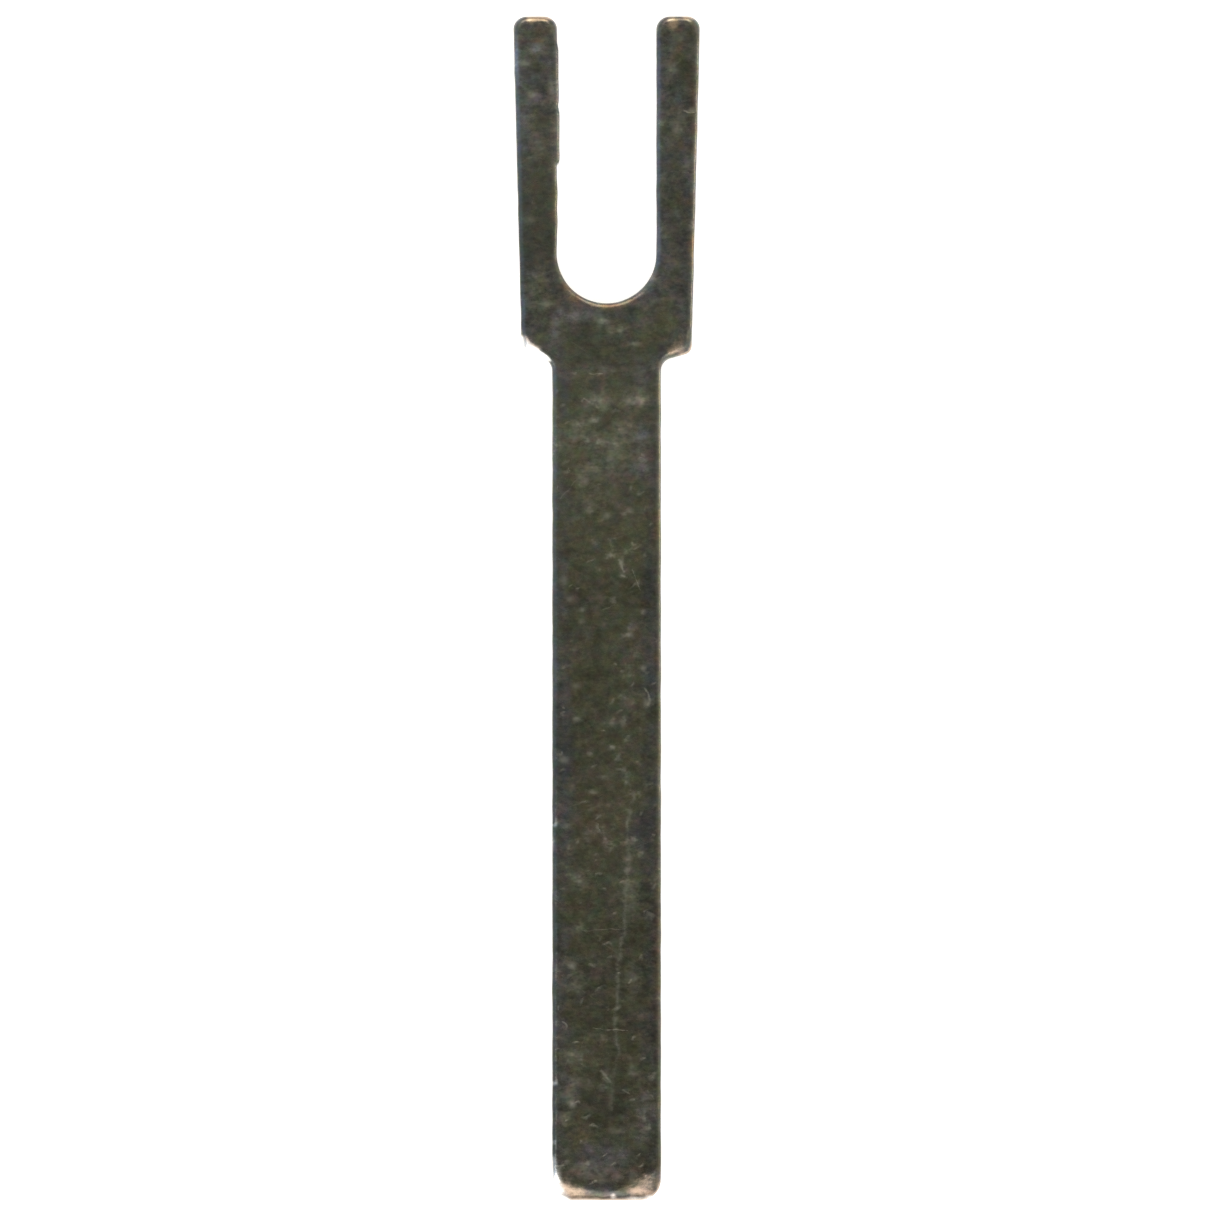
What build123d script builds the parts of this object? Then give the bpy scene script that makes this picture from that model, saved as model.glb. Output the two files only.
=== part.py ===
from build123d import *

import os

# A two-pronged divot repair fork, blanked in one hit from flat steel strip and then plated.
# The prongs, the shoulders and the handle are one blank, so the model is one solid.
#
# The fork lies on its back on the XY plane. +Y runs from the end of the handle to the tips of
# the prongs, +X is to the right seen from above, and +Z is the show side. The origin is in the
# middle of the back, so the back is at z = 0.

# Driving dimensions, in millimetres.
SHEET_THICKNESS = 2.0
OVERALL_LENGTH = 89.0  # end of the handle to the tips
HANDLE_WIDTH = 8.15
HEAD_LENGTH = 25.2  # tips to the outer corners of the shoulders
HEAD_WIDTH = 12.75  # across the shoulders
TIP_SPAN = 14.05  # across both prongs at the tips, so they widen a little outwards
SHOULDER_SLOPE = 0.65  # how far a shoulder falls from its outer corner to the handle
SLOT_WIDTH = 7.5
SLOT_DEPTH = 21.55  # tips to the bottom of the slot's full round

# Radii of the outline's corners.
TIP_RADIUS = 0.95
SHOULDER_RADIUS = 0.6
NECK_RADIUS = 1.0  # hollow corner where a shoulder meets the handle
HANDLE_END_RADIUS = 1.5

# The press draws the sheet in round the show side, and tumbling takes the burr off the back.
DRAWN_EDGE_RADIUS = 0.4
TUMBLED_EDGE_RADIUS = 0.12

# A corner or an edge may take at most this share of the wall it is cut in.
LARGEST_SHARE = 0.45

tip_y = OVERALL_LENGTH / 2
handle_end_y = -OVERALL_LENGTH / 2
shoulder_y = tip_y - HEAD_LENGTH
neck_y = shoulder_y - SHOULDER_SLOPE
slot_radius = SLOT_WIDTH / 2
slot_centre_y = tip_y - SLOT_DEPTH + slot_radius


def blank_with_sharp_corners():
    """The fork's outline before its corners are rounded: a right half and its mirror image."""
    right_half = [
        (HANDLE_WIDTH / 2, handle_end_y),
        (HANDLE_WIDTH / 2, neck_y),
        (HEAD_WIDTH / 2, shoulder_y),
        (TIP_SPAN / 2, tip_y),
    ]
    left_half = [(-x, y) for x, y in reversed(right_half)]
    return Polygon(*right_half, *left_half)


def slot():
    """The gap between the prongs: open at the tips, with a full round at its bottom."""
    sides = Polygon(
        (slot_radius, slot_centre_y),
        (slot_radius, tip_y),
        (-slot_radius, tip_y),
        (-slot_radius, slot_centre_y),
    )
    return sides + Pos(0, slot_centre_y) * Circle(slot_radius)


def round_corners(sketch, y, radius):
    """Rounds every corner of the sketch that lies at this height along the fork."""
    corners = [corner for corner in sketch.vertices() if abs(corner.Y - y) < 1e-6]
    return fillet(corners, radius)


def outline():
    """The finished outline of the blank, seen from the show side."""
    sketch = blank_with_sharp_corners() - slot()
    prong_width = (TIP_SPAN - SLOT_WIDTH) / 2
    step_width = (HEAD_WIDTH - HANDLE_WIDTH) / 2
    sketch = round_corners(sketch, tip_y, min(TIP_RADIUS, LARGEST_SHARE * prong_width))
    sketch = round_corners(sketch, shoulder_y, min(SHOULDER_RADIUS, LARGEST_SHARE * step_width))
    sketch = round_corners(sketch, neck_y, min(NECK_RADIUS, LARGEST_SHARE * step_width))
    return round_corners(
        sketch, handle_end_y, min(HANDLE_END_RADIUS, LARGEST_SHARE * HANDLE_WIDTH)
    )


def fork_body():
    """The outline in full sheet thickness, with the edges of both sides rounded."""
    largest = LARGEST_SHARE * SHEET_THICKNESS
    body = extrude(outline(), SHEET_THICKNESS)
    show_side = body.faces().sort_by(Axis.Z)[-1]
    body = fillet(show_side.edges(), min(DRAWN_EDGE_RADIUS, largest))
    back = body.faces().sort_by(Axis.Z)[0]
    return fillet(back.edges(), min(TUMBLED_EDGE_RADIUS, largest))


os.makedirs("parts", exist_ok=True)
export_step(fork_body(), "parts/fork_body.step")
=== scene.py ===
import math
from typing import NamedTuple

import bmesh
import bpy
import numpy as np
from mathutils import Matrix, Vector, bvhtree, geometry, kdtree


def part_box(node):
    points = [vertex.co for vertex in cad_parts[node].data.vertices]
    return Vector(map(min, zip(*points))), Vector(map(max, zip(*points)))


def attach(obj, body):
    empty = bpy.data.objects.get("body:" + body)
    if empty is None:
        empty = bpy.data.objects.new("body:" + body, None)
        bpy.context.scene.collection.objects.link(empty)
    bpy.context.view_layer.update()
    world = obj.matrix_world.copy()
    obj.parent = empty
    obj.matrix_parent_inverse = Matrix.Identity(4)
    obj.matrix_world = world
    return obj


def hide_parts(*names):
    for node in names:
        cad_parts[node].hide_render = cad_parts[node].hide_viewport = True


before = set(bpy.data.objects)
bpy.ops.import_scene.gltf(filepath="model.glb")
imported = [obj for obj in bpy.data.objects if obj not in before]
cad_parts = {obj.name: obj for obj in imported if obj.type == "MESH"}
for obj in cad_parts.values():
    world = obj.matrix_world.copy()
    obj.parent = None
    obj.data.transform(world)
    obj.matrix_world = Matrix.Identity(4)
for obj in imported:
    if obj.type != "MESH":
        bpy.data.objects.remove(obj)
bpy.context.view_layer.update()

# A divot fork stamped from steel strip, tumbled until its corners went soft, then plated dark.
# The fork lies on its back: +Y points to the tips, +Z out of the show side. Lengths are in
# metres, apart from the tables that say millimetres.

bl_info = {
    "name": "Divot fork",
    "version": (1, 0, 0),
    "blender": (4, 5, 0),
    "location": "3D View > Sidebar > Divot fork",
    "description": "Builds a stamped and plated divot fork round its packed frame, and its studio",
    "category": "Add Mesh",
}

MM = 0.001
FORK = "fork_body"
LOWEST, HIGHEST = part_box(FORK)


def length(name, description, default):
    """A length that a user may set."""
    return bpy.props.FloatProperty(
        name=name, description=description, default=default, min=0.0, precision=5, unit="LENGTH"
    )


def share(name, description, default):
    """A number from 0 to 1 that a user may set."""
    return bpy.props.FloatProperty(
        name=name, description=description, default=default, min=0.0, max=1.0, subtype="FACTOR"
    )


def colour(name, description, default, brightest=1.0):
    """A colour that a user may set. A lit wall may be brighter than 1."""
    return bpy.props.FloatVectorProperty(
        name=name, description=description, default=default, min=0.0, max=brightest, subtype="COLOR"
    )


class BlankSizes(bpy.types.PropertyGroup):
    """The outline that the press blanks out of the strip."""

    tip_span: length("Tip span", "Across both prongs, where their outer edges meet the tips", 14.05 * MM)
    head_length: length("Head length", "From the tips to the outer corners of the shoulders", 25.2 * MM)
    head_width: length("Head width", "Across the shoulders", 12.75 * MM)
    shoulder_slope: length("Shoulder slope", "How far a shoulder falls to the handle", 0.65 * MM)
    handle_width: length("Handle width", "Across the handle", 8.15 * MM)
    slot_width: length("Slot width", "Between the prongs", 7.5 * MM)
    slot_depth: length("Slot depth", "From the tips to the bottom of the full round", 21.55 * MM)
    tip_radius: length("Tip radius", "Of the corners at the tips", 0.95 * MM)
    shoulder_radius: length("Shoulder radius", "Of the shoulders' outer corners", 0.6 * MM)
    neck_radius: length("Neck radius", "Of the hollow corners under the shoulders", 1.0 * MM)
    handle_end_radius: length("Handle end radius", "Of the corners at the handle's end", 1.5 * MM)


class EdgeSizes(bpy.types.PropertyGroup):
    """What the press and the tumbler do to the blank's edges."""

    roll_width: length("Roll width", "How far in from a long edge the face is drawn down", 0.56 * MM)
    roll_depth: length("Roll depth", "How deep it is drawn down along a long edge", 0.24 * MM)
    end_roll_width: length("End roll width", "The same at the tips and the handle's end", 0.85 * MM)
    end_roll_depth: length("End roll depth", "The same at the tips and the handle's end", 0.33 * MM)
    corner_roll_width: length("Corner roll width", "The same at an outer corner", 1.4 * MM)
    corner_roll_depth: length("Corner roll depth", "The same at an outer corner", 0.42 * MM)
    crown_width: length("Crown width", "The margin that the tumbler leaves slightly domed", 1.5 * MM)
    crown_drop: length("Crown drop", "How far that margin falls to the edge", 0.03 * MM)
    land: length("Burnished land", "How far down its side the blank is sheared clean", 0.65 * MM)
    break_taper: length("Break taper", "How far the broken part of the side leans in", 0.05 * MM)
    back_radius: length("Back edge radius", "Of the tumbled edge round the back", 0.16 * MM)
    burr_stand_out: length("Burr", "How far the burr inside the left prong stands out", 0.2 * MM)


class PlatingLooks(bpy.types.PropertyGroup):
    """The finish of the plated steel, and the painted sheen, reflection, shade and highlights laid on it."""

    plating: colour("Plating", "The dark olive plating on the open face", (0.125, 0.125, 0.087))
    # Painted reflection: this bluish colour on the margins, the head and the prongs stands in for a cool
    # reflection, mottled with a random tint.
    cool_tint_and_reflection: colour(
        "Cool film", "The bluish film on the margins, the head and the prongs", (0.128, 0.133, 0.144)
    )
    green: colour("Green film", "The greenish cast in places", (0.100, 0.131, 0.098))
    violet: colour("Violet film", "The pale violet film in places", (0.255, 0.248, 0.285))
    # Partly painted sheen: this pale colour also paints the lighter cloud round the upper handle and the
    # neck, which stands in for reflected light.
    haze_and_sheen: colour("Haze", "Where the plating is cloudy", (0.285, 0.292, 0.250))
    # Painted shade: the dark colour of the darker patches on the neck, the prongs and the handle.
    painted_shade: colour("Thick plating", "Where the plating is thickest", (0.075, 0.077, 0.060))
    tarnish: colour("Tarnish", "The reddish brown film", (0.185, 0.130, 0.095))
    speck: colour("Dings", "The pale metal in small dings and scratches", (0.52, 0.52, 0.46))
    # Partly painted highlight: besides worn copper at the corners, this colour paints the cream highlights
    # on the tips, the slot's rim and the right shoulder.
    worn_and_highlight: colour("Worn corners", "The copper layer that shows at worn corners", (0.52, 0.41, 0.325))
    # Painted highlight: this near-white paints the blown glints on the left shoulder, the lower left corner,
    # the left edge's dents and the tips, shown as bare metal.
    bare_and_highlight: colour("Bare metal", "The bright metal where a corner is rubbed right through", (0.93, 0.92, 0.89))
    roughness: share("Roughness", "Of the open face", 0.27)
    edge_roughness: share("Edge roughness", "Of the edges, which tumbling burnishes", 0.2)


class StudioLooks(bpy.types.PropertyGroup):
    """The pale floor, the room's soft light and the softboxes."""

    floor: colour("Floor", "The plain pale floor", (0.92, 0.92, 0.92))
    floor_glow: share("Floor glow", "Light that comes up through the floor", 0.7)
    ceiling: colour("Ceiling", "The dim ceiling that the open face mirrors", (0.27, 0.27, 0.235), 4.0)
    left_wall: colour("Left wall", "Cool light from the left", (0.50, 0.58, 0.68), 4.0)
    right_wall: colour("Right wall", "Warm light from the right", (0.84, 0.79, 0.65), 4.0)
    far_wall: colour("Far wall", "Cream light from beyond the tips", (0.85, 0.71, 0.50), 4.0)
    near_wall: colour("Near wall", "Rosy light from behind the handle's end", (0.95, 0.82, 0.74), 4.0)
    horizon: colour("Horizon", "The pale backdrop behind the floor", (1.0, 1.0, 1.0), 4.0)


# ---------------------------------------------------------------- the fork's outline


class Corner(NamedTuple):
    """A corner of the outline and the radius that rounds it."""

    x: float
    y: float
    radius: float


class Wear(NamedTuple):
    """A facet worn on an outer corner: how far it reaches, its drop, and the way it faces."""

    reach: float
    drop: float
    facing: tuple


OUTLINE_STEP = 0.15 * MM
LARGEST_MISFIT = 0.03 * MM

# The worn outer corners, by their place in blank_corners().
WORN_CORNERS = {
    0: Wear(2.4 * MM, 0.40 * MM, (0.50, -0.87)),
    2: Wear(1.3 * MM, 0.22 * MM, (0.72, -0.69)),
    3: Wear(0.9 * MM, 0.08 * MM, (0.70, 0.71)),
    4: Wear(0.9 * MM, 0.08 * MM, (-0.70, 0.71)),
    7: Wear(0.9 * MM, 0.08 * MM, (0.70, 0.71)),
    8: Wear(0.9 * MM, 0.08 * MM, (-0.70, 0.71)),
    9: Wear(1.1 * MM, 0.40 * MM, (-0.71, -0.70)),
    11: Wear(1.9 * MM, 0.25 * MM, (-0.34, -0.94)),
}


def blank_corners(sizes):
    """The corners of the blank, anticlockwise from the right corner of the handle's end."""
    tip_y = HIGHEST.y
    shoulder_y = tip_y - sizes.head_length
    slot_side = sizes.slot_width / 2
    handle_side = sizes.handle_width / 2
    right_half = [
        Corner(handle_side, LOWEST.y, sizes.handle_end_radius),
        Corner(handle_side, shoulder_y - sizes.shoulder_slope, sizes.neck_radius),
        Corner(sizes.head_width / 2, shoulder_y, sizes.shoulder_radius),
        Corner(sizes.tip_span / 2, tip_y, sizes.tip_radius),
        Corner(slot_side, tip_y, sizes.tip_radius),
        Corner(slot_side, tip_y - sizes.slot_depth, slot_side),
    ]
    left_half = [corner._replace(x=-corner.x) for corner in reversed(right_half)]
    return right_half + left_half


def arc_of(before, corner, after):
    """The centre, first angle and turn of the arc that rounds a corner, with its end points."""
    here = Vector((corner.x, corner.y))
    back = (Vector((before.x, before.y)) - here).normalized()
    ahead = (Vector((after.x, after.y)) - here).normalized()
    half = back.angle(ahead) / 2
    cut = corner.radius / math.tan(half)
    start, end = here + back * cut, here + ahead * cut
    centre = here + (back + ahead).normalized() * (corner.radius / math.sin(half))
    turn = math.copysign(math.pi - 2 * half, ahead.cross(back))
    spoke = start - centre
    return centre, math.atan2(spoke.y, spoke.x), turn, start, end


def outline_of(corners):
    """The rounded outline as points OUTLINE_STEP apart, with the normal out of each."""
    arcs = [
        arc_of(corners[i - 1], corner, corners[(i + 1) % len(corners)])
        for i, corner in enumerate(corners)
    ]
    points, normals = [], []
    for i, (centre, first, turn, _, end) in enumerate(arcs):
        radius = corners[i].radius
        steps = max(6, math.ceil(abs(turn) * radius / OUTLINE_STEP))
        for angle in first + turn * np.arange(steps + 1) / steps:
            spoke = np.array([math.cos(angle), math.sin(angle)])
            points.append(np.array(centre) + radius * spoke)
            normals.append(spoke * math.copysign(1, turn))
        run = arcs[(i + 1) % len(arcs)][3] - end
        steps = math.ceil(run.length / OUTLINE_STEP)
        if run.length > OUTLINE_STEP / 2:
            straight_normal = np.array([run.y, -run.x]) / run.length
            for along in np.arange(1, steps) / steps:
                points.append(np.array(end + run * along))
                normals.append(straight_normal)
    points, normals = np.array(points), np.array(normals)
    apart = np.linalg.norm(points - np.roll(points, 1, axis=0), axis=1) > 0.01 * MM
    return points[apart], normals[apart]


def check_outline(points):
    """Stops the script if the outline strays from the CAD node that the piece stands for."""
    cad = bmesh.new()
    cad.from_mesh(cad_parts[FORK].data)
    tree = bvhtree.BVHTree.FromBMesh(cad)
    cad.free()
    middle = (LOWEST.z + HIGHEST.z) / 2
    worst = max(tree.find_nearest(Vector((x, y, middle)))[3] for x, y in points)
    if worst > LARGEST_MISFIT:
        raise ValueError(f"the outline is {worst / MM:.3f} mm off the CAD node {FORK}")


# ---------------------------------------------------------------- unevenness

RANDOM_SEED = 41


def eased(amount):
    """0 to 1 with a soft start and a soft end."""
    amount = np.clip(amount, 0, 1)
    return amount * amount * (3 - 2 * amount)


def ripples(points, waves, shortest, longest, seed):
    """Shallow waves that cross in every direction, mostly between -1 and 1."""
    random = np.random.default_rng(RANDOM_SEED + seed)
    total = np.zeros(len(points))
    for _ in range(waves):
        angle = random.uniform(0, 2 * math.pi)
        wave_length = random.uniform(shortest, longest)
        across = points @ np.array([math.cos(angle), math.sin(angle)])
        total += np.sin(2 * math.pi * (across / wave_length + random.uniform()))
    return total / math.sqrt(waves)


def burr(points, sizes, edges):
    """How far the inner edge of the left prong stands out of its line, with its wavy run below."""
    below_tip = (HIGHEST.y - points[:, 1]) / MM
    inner = np.abs(points[:, 0] + sizes.slot_width / 2) < 0.3 * MM
    upper = eased((below_tip - 1.8) / 0.8) * eased((7.4 - below_tip) / 1.2)
    lower = eased((below_tip - 6.6) / 0.7) * eased((11.2 - below_tip) / 0.35)
    wavy = eased((below_tip - 11.2) / 0.5) * eased((17.4 - below_tip) / 1.0)
    stand_out = 0.65 * upper + lower * (1 - 0.1 * np.sin(below_tip * 2.1))
    stand_out = np.minimum(stand_out, 1.0)
    wave = 0.2 * wavy * (0.6 + 0.6 * np.sin(below_tip * 2.9 + 1.0))
    return inner * (stand_out + wave) * edges.burr_stand_out


# Dents in the show side: place across and along the fork, radius and depth, in millimetres.
DENTS = (
    (-3.9, -16.3, 0.38, 0.07),
    (-3.95, -35.8, 0.36, 0.06),
    (-4.0, -22.5, 0.8, 0.03),
    (-4.0, -28.0, 0.8, 0.03),
    (3.1, -6.7, 0.45, 0.05),
    (2.8, -0.3, 0.4, 0.02),
    (1.1, 3.2, 0.5, 0.02),
    (-2.6, 10.4, 0.6, 0.02),
    (0.6, 14.2, 0.7, 0.015),
    (-2.7, -27.0, 0.5, 0.03),
    (-2.0, -20.6, 0.8, 0.03),
    (-2.7, -37.2, 0.5, 0.03),
    (1.7, -30.2, 0.6, 0.015),
    (5.6, 33.6, 0.5, 0.03),
    (6.5, 37.4, 0.3, 0.05),
    (6.5, 28.8, 0.4, 0.05),
    (-5.5, 39.3, 0.6, 0.02),
    (-5.0, 27.6, 0.6, 0.02),
)


def dents(points):
    """How far the face is knocked in at each point."""
    total = np.zeros(len(points))
    for x, y, radius, depth in DENTS:
        away = np.linalg.norm(points - np.array([x, y]) * MM, axis=1)
        total += depth * MM * np.exp(-((away / (radius * MM)) ** 2))
    return total


# Soft patches on the show side and the top of the walls, some of them the plating's finish and some painted
# sheen, reflection, shade and highlights: middle across and along the fork, half width, half length, in
# millimetres, and strength. plating() takes the kinds in this order.
PATCHES = {
    # Cloudy plating, and painted sheen: the light patches round the upper handle and the neck stand in for
    # reflected light.
    "haze_and_sheen": (
        (0.0, -42.5, 2.0, 0.6, 0.3),
        (2.1, 15.7, 0.8, 0.6, 1.0),
        (-0.4, 15.5, 1.2, 0.6, 0.8),
        (-2.1, 13.9, 0.5, 0.4, 0.8),
        (-0.9, 14.2, 0.4, 0.3, 0.8),
        (-1.6, 12.6, 0.4, 0.4, 0.9),
        (-0.6, 12.5, 0.3, 0.5, 0.9),
        (0.9, 13.5, 0.35, 0.5, 0.8),
        (-2.3, 13.0, 1.1, 0.9, 0.4),
        (0.6, 12.2, 1.8, 1.2, 0.45),
        (-0.3, 10.4, 1.8, 0.9, 0.4),
        (-1.8, 10.0, 0.5, 0.5, 0.5),
        (-1.2, 8.2, 1.3, 0.8, 0.3),
        (0.0, 17.9, 1.5, 0.25, 0.5),
        (-0.2, 21.6, 0.5, 0.3, 0.9),
        (0.8, 20.9, 0.6, 0.35, 0.8),
        (2.1, 19.9, 0.45, 0.15, 0.8),
        (-5.4, 25.0, 0.6, 0.3, 0.8),
        (-5.2, 24.2, 0.8, 1.1, 0.4),
        (-4.7, 22.8, 0.8, 0.3, 0.5),
        (4.6, 25.8, 0.3, 0.6, 0.2),
        (3.3, 24.9, 0.3, 0.3, 0.6),
        (-2.0, -20.4, 0.6, 0.5, 0.8),
        (1.8, -21.6, 0.8, 1.3, 0.5),
        (-2.1, -24.0, 0.4, 0.35, 0.9),
        (-2.3, -28.0, 0.8, 0.6, 0.5),
        (2.1, -27.9, 0.7, 0.9, 0.4),
        (-2.4, -33.5, 0.5, 0.25, 0.7),
        (-0.05, -35.2, 0.25, 0.4, 0.9),
        (-0.2, -36.0, 0.35, 0.15, 0.8),
        (1.5, -36.25, 0.35, 0.15, 0.8),
        (0.3, -37.2, 0.2, 1.0, 0.5),
        (2.0, -34.8, 0.4, 0.5, 0.5),
        (0.7, -39.3, 0.6, 0.2, 0.5),
        (-3.1, -38.3, 0.4, 0.6, 0.6),
        (-2.6, -35.6, 0.8, 1.4, 0.35),
        (-1.65, -41.8, 0.3, 0.3, 0.9),
        (2.9, -36.7, 0.45, 0.3, 0.5),
        (-6.1, 41.0, 0.3, 0.2, 0.9),
        (-5.4, 38.8, 0.5, 0.4, 0.6),
        (-5.2, 34.6, 0.8, 0.8, 0.3),
        (-4.1, 38.8, 0.25, 1.0, 0.7),
        (-5.7, 29.2, 0.5, 0.25, 0.6),
        (4.7, 40.3, 0.28, 0.7, 0.9),
        (5.2, 37.3, 0.9, 0.3, 0.4),
        (5.2, 36.2, 0.4, 0.6, 0.6),
        (6.1, 33.1, 0.35, 0.5, 0.7),
        (4.25, 32.3, 0.25, 0.3, 0.8),
        (4.2, 27.9, 0.4, 0.15, 0.7),
        (6.4, 28.8, 0.3, 0.4, 0.5),
    ),
    # Painted reflection: bluish patches along the margins, on the head and the prongs, and at the handle's
    # end.
    "cool_tint_and_reflection": (
        (-3.7, 20.0, 0.6, 0.8, 0.6),
        (-3.2, 16.0, 0.4, 1.8, 0.8),
        (-5.4, 39.6, 0.4, 0.4, 0.8),
        (5.3, 39.4, 0.35, 1.4, 0.8),
        (4.3, 34.5, 0.3, 1.4, 0.5),
        (-6.2, 31.5, 0.5, 1.6, 0.6),
        (-6.1, 27.6, 0.5, 0.7, 0.6),
        (3.1, 2.4, 0.35, 1.2, 0.9),
        (3.2, -5.6, 0.35, 1.2, 0.9),
        (-3.0, -12.0, 0.5, 5.0, 0.6),
        (2.6, -16.7, 0.7, 1.8, 0.8),
        (-0.2, -41.2, 2.0, 0.9, 0.7),
        (-0.3, -43.6, 0.8, 0.4, 0.9),
    ),
    "violet": (
        (0.0, -42.3, 2.6, 0.9, 0.3),
        (-2.6, 22.1, 1.5, 0.5, 0.8),
        (-3.9, 20.9, 0.35, 0.9, 0.6),
        (5.6, 22.6, 0.35, 1.2, 0.35),
        (2.5, 17.8, 0.6, 1.2, 0.5),
        (2.7, 13.0, 0.5, 0.9, 0.8),
        (2.5, 10.5, 0.8, 0.6, 0.7),
        (-5.2, 42.0, 0.5, 0.35, 1.0),
        (-6.75, 41.2, 0.3, 1.2, 0.9),
        (-5.3, 38.4, 0.5, 0.4, 0.7),
        (-6.0, 36.9, 0.5, 0.8, 0.35),
        (5.4, 38.5, 0.5, 0.4, 0.6),
        (6.2, 32.2, 0.3, 0.8, 0.5),
        (5.3, 29.6, 0.3, 0.6, 0.7),
        (-3.2, -0.1, 0.35, 0.6, 0.5),
        (1.85, -1.3, 0.3, 0.25, 0.5),
        (2.7, -38.2, 0.7, 1.8, 0.45),
        (-1.3, -40.6, 0.35, 0.3, 0.9),
        (1.35, -40.9, 0.45, 0.35, 0.7),
        (-0.9, -42.0, 0.5, 0.3, 0.7),
        (0.1, -40.7, 0.6, 0.3, 0.5),
    ),
    "verdigris": (
        (-6.35, 41.8, 0.35, 0.35, 0.9),
        (-6.5, 43.7, 0.35, 0.4, 0.7),
        (6.35, 43.3, 0.3, 0.6, 0.9),
        (4.5, 42.0, 0.25, 0.5, 0.9),
        (-6.35, 31.2, 0.3, 1.4, 0.9),
        (-4.5, 30.6, 0.35, 0.7, 0.9),
        (4.15, 35.0, 0.25, 0.7, 0.8),
        (4.7, 31.0, 0.6, 0.6, 0.7),
        (6.0, 29.1, 0.3, 0.6, 0.8),
        (-6.3, 27.6, 0.3, 1.0, 0.9),
        (-4.3, 27.6, 0.3, 1.2, 0.6),
        (-1.3, 19.8, 2.2, 1.2, 0.5),
        (3.3, 19.3, 0.4, 0.4, 0.8),
        (0.2, 22.4, 1.5, 0.3, 0.6),
        (1.9, 15.9, 0.5, 0.4, 0.5),
        (-0.7, -40.9, 0.35, 0.35, 1.0),
        (-0.65, -38.9, 0.25, 0.7, 0.5),
        (-3.2, -42.2, 0.4, 0.3, 0.8),
    ),
    # Painted shade: darker patches on the neck, the prongs and the lower handle.
    "painted_shade": (
        (-1.5, 19.8, 1.8, 1.2, 0.75),
        (-2.8, 18.3, 0.9, 0.5, 0.5),
        (0.8, 22.4, 2.4, 0.35, 0.5),
        (3.8, 20.6, 0.8, 0.9, 0.4),
        (2.2, 17.8, 1.3, 1.0, 0.3),
        (0.0, 14.0, 0.5, 0.4, 0.6),
        (-5.3, 31.5, 1.8, 3.2, 0.85),
        (-5.4, 27.5, 1.8, 2.4, 0.8),
        (-5.4, 29.5, 2.0, 5.0, 0.6),
        (5.3, 35.0, 1.4, 9.0, 0.35),
        (1.5, 18.4, 2.0, 1.2, 0.35),
        (-4.6, 33.5, 0.5, 3.2, 0.4),
        (-4.7, 36.6, 0.4, 0.8, 0.5),
        (5.5, 27.5, 1.3, 2.2, 0.6),
        (5.6, 23.0, 0.8, 1.8, 0.4),
        (0.8, -32.0, 3.0, 7.0, 0.12),
        (-3.2, 16.0, 0.5, 1.4, 0.6),
        (3.2, 2.2, 0.35, 1.2, 0.6),
        (3.2, -6.0, 0.35, 0.9, 0.7),
        (0.0, -37.8, 1.6, 1.0, 0.8),
        (-0.9, -35.3, 0.9, 0.6, 0.5),
        (1.0, -37.0, 0.8, 1.3, 0.5),
        (1.7, -32.2, 0.9, 0.5, 0.4),
        (2.1, -25.0, 0.7, 1.2, 0.4),
        (3.2, -20.8, 0.5, 1.5, 0.4),
        (2.7, -16.5, 0.7, 1.8, 0.5),
        (-5.1, 40.5, 0.7, 0.3, 0.8),
        (-5.0, 39.2, 0.5, 0.5, 0.8),
        (-5.2, 43.2, 1.0, 0.35, 0.5),
        (-4.9, 36.6, 0.5, 1.0, 0.5),
        (5.9, 40.2, 0.7, 1.3, 1.0),
        (6.3, 43.2, 0.35, 0.6, 0.5),
        (5.4, 34.5, 0.4, 0.6, 0.5),
        (4.7, 31.0, 0.6, 0.5, 0.4),
        (-0.4, -43.6, 0.8, 0.4, 0.8),
        (1.4, -43.4, 0.6, 0.4, 0.5),
        (-3.0, -41.9, 0.6, 0.6, 0.5),
        (2.9, -40.9, 0.7, 0.4, 0.5),
    ),
    "tarnish": (
        (-5.4, 42.65, 0.9, 0.14, 1.0),
        (-4.8, 43.3, 0.8, 0.35, 0.6),
        (5.4, 43.5, 0.35, 0.25, 0.8),
        (5.5, 42.1, 0.25, 0.6, 0.9),
        (6.4, 39.0, 0.25, 1.0, 0.9),
        (6.5, 35.9, 0.3, 1.8, 0.5),
        (5.5, 34.9, 0.25, 0.5, 0.7),
        (4.8, 37.3, 0.3, 0.3, 0.5),
        (6.1, 30.5, 0.3, 0.4, 0.8),
        (6.5, 27.3, 0.25, 1.4, 1.0),
        (-5.4, 31.2, 0.22, 1.2, 1.0),
        (-4.0, 30.5, 0.25, 2.2, 0.6),
        (-4.3, 26.2, 0.35, 0.3, 0.8),
        (-3.2, 24.1, 0.5, 0.5, 0.7),
        (-2.4, 23.3, 0.7, 0.3, 0.8),
        (0.3, 22.75, 1.6, 0.15, 0.8),
        (2.0, 23.1, 0.5, 0.25, 0.7),
        (3.8, 20.25, 0.6, 0.2, 0.6),
        (-2.8, 18.3, 0.9, 0.35, 0.6),
        (3.7, 6.1, 0.25, 1.0, 0.9),
        (3.7, -3.7, 0.25, 0.4, 0.9),
        (3.7, -25.0, 0.3, 6.0, 0.5),
        (-2.5, 5.5, 0.2, 0.7, 0.5),
        (-0.6, -13.95, 1.4, 0.12, 0.7),
        (-0.5, -16.2, 1.6, 2.0, 0.3),
        (-0.2, -33.2, 0.35, 1.3, 0.3),
        (-2.0, -39.3, 0.25, 2.0, 0.5),
        (-1.5, -39.65, 0.3, 0.25, 1.0),
        (2.2, -42.2, 1.0, 0.25, 0.8),
        (1.5, -43.4, 0.5, 0.4, 0.5),
        (-2.5, -42.3, 0.9, 0.3, 0.8),
        (0.0, -42.6, 1.8, 0.45, 0.8),
    ),
    "spot": (
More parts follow.
